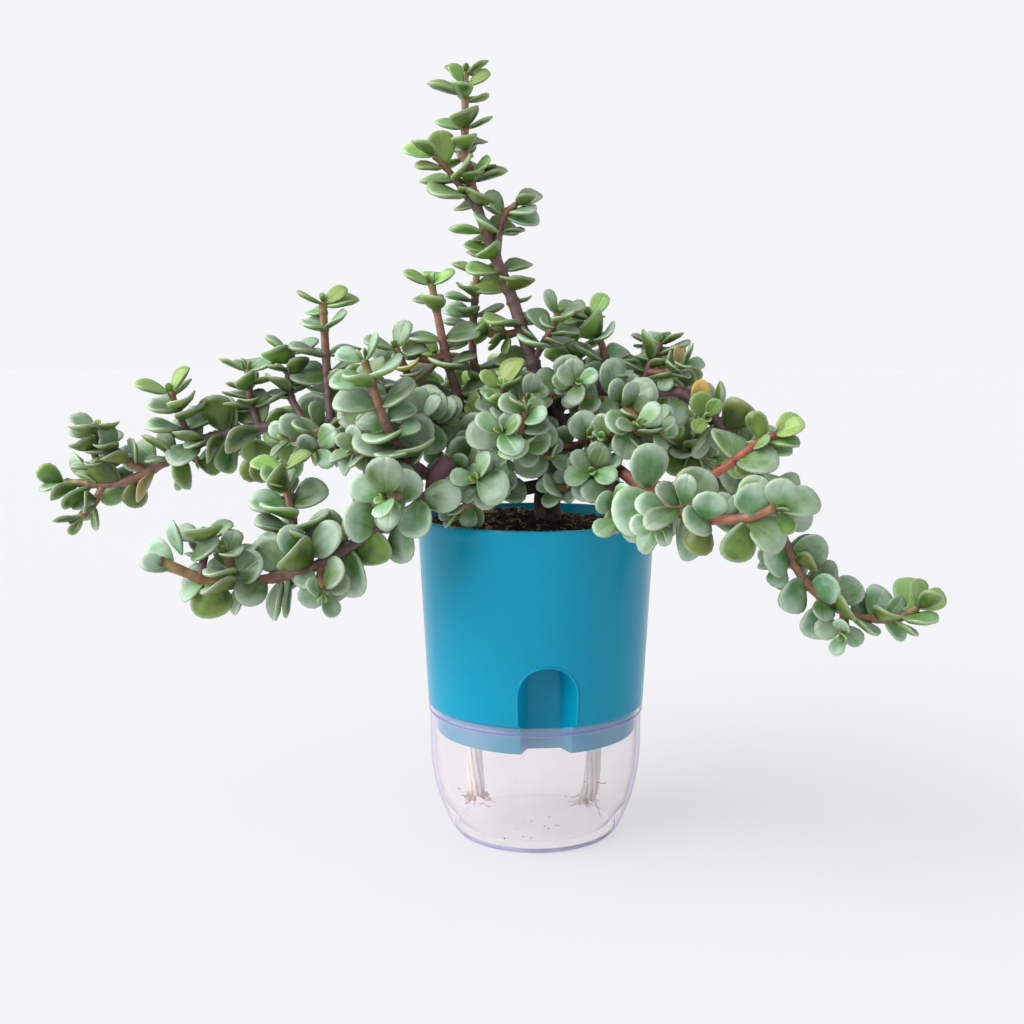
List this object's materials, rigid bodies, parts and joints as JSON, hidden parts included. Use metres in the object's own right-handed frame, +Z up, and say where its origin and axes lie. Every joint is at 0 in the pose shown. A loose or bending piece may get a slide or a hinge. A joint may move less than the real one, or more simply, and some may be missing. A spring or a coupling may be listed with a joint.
{
  "type": "potted elephant bush",
  "caption": "Elephant bush with small round opposite leaves on spreading branches, in a turquoise tapered self-watering pot with a clear water reservoir.",
  "frame": {"origin": "centre of the reservoir's flat underside, on the pot's axis, at the surface it stands on", "axes": "+Z up, -Y to the front where the filling recess is, +X to the right seen from the front"},
  "size_m": [0.3775, 0.2063, 0.3232],
  "materials": {
    "clear_plastic": "clear, slightly pink, glossy",
    "pot_plastic": "turquoise, satin gloss",
    "wick_cotton": "twisted off-white cotton",
    "potting_soil": "dark crumbly soil with bits of fibre",
    "trunk_bark": "rough purple-brown bark",
    "leaf": "waxy grey-green leaves on red-brown stems"
  },
  "bodies": {
    "root": {"reservoir": "clear_plastic", "inner_pot": "pot_plastic", "wick_left": "wick_cotton", "wick_right": "wick_cotton", "soil": "potting_soil", "trunk": "trunk_bark", "leader": "leaf", "leader_twig_left": "leaf", "leader_twig_right": "leaf", "leader_twig_low": "leaf", "riser_near": "leaf", "riser_mid": "leaf", "riser_far": "leaf", "far_left": "leaf", "far_left_riser_1": "leaf", "far_left_riser_2": "leaf", "far_left_riser_3": "leaf", "far_left_riser_4": "leaf", "mid_left": "leaf", "lower_left": "leaf", "low_front": "leaf", "low_end_riser": "leaf", "low_riser": "leaf", "left_front": "leaf", "left_hang": "leaf", "left_inner": "leaf", "left_top": "leaf", "left_back": "leaf", "left_low_back": "leaf", "centre_front": "leaf", "centre_top": "leaf", "centre_left": "leaf", "centre_low": "leaf", "right_riser": "leaf", "right_top": "leaf", "right_front": "leaf", "right_crown": "leaf", "right": "leaf", "low_right": "leaf", "red_shoot": "leaf", "right_mid": "leaf", "right_inner": "leaf", "right_under": "leaf", "rim_spray": "leaf", "back": "leaf", "back_left": "leaf", "back_right": "leaf", "back_riser": "leaf", "right_back": "leaf"}
  },
  "joints": []
}
